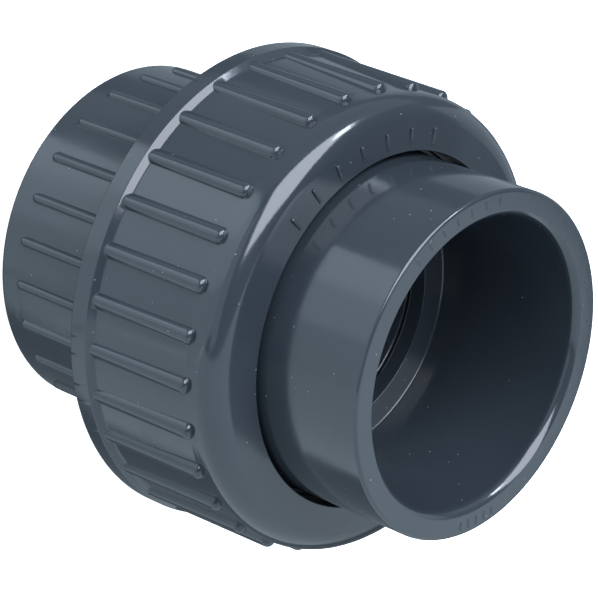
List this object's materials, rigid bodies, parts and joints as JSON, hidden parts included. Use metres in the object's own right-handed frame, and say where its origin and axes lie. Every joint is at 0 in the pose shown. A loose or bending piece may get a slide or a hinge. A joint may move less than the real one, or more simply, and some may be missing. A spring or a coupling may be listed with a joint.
{
  "type": "pipe union fitting",
  "caption": "Grey plastic pipe union: ribbed coupling nut, smooth pipe socket, ribbed half with a female pipe thread, and an O-ring between the halves.",
  "frame": {"origin": "on the pipe axis, at the bottom centre of the box: in the plane of the female thread's end face", "axes": "+Z along the pipe axis out of the smooth socket, and up: the fitting stands on the end face of its female thread; +X is any direction across it"},
  "size_m": [0.084, 0.084, 0.0824],
  "materials": {
    "body_plastic": "semi-gloss moulded PVC, dark blue-grey",
    "nut_plastic": "glossy moulded PVC, dark blue-grey",
    "end_plastic": "semi-gloss moulded PVC, dark blue-grey",
    "seal_rubber": "matt black elastomer"
  },
  "bodies": {
    "body": {"threaded_body": "body_plastic", "seal_ring": "seal_rubber"},
    "end": {"union_end": "end_plastic"},
    "nut": {"union_nut": "nut_plastic"}
  },
  "joints": [
    {"name": "union_end_draw", "type": "slide", "parent": "body", "child": "end", "axis": [0, 0, 1], "range_m": [0, 0.016]},
    {"name": "union_nut_turn", "type": "hinge", "parent": "end", "child": "nut", "pos_m": [0, 0, 0], "axis": [0, 0, 1], "range_deg": [0, 1440]}
  ],
  "couplings": [
    {"joint": "union_end_draw", "follows": "union_nut_turn", "m_per_rad": 0.00063661}
  ]
}
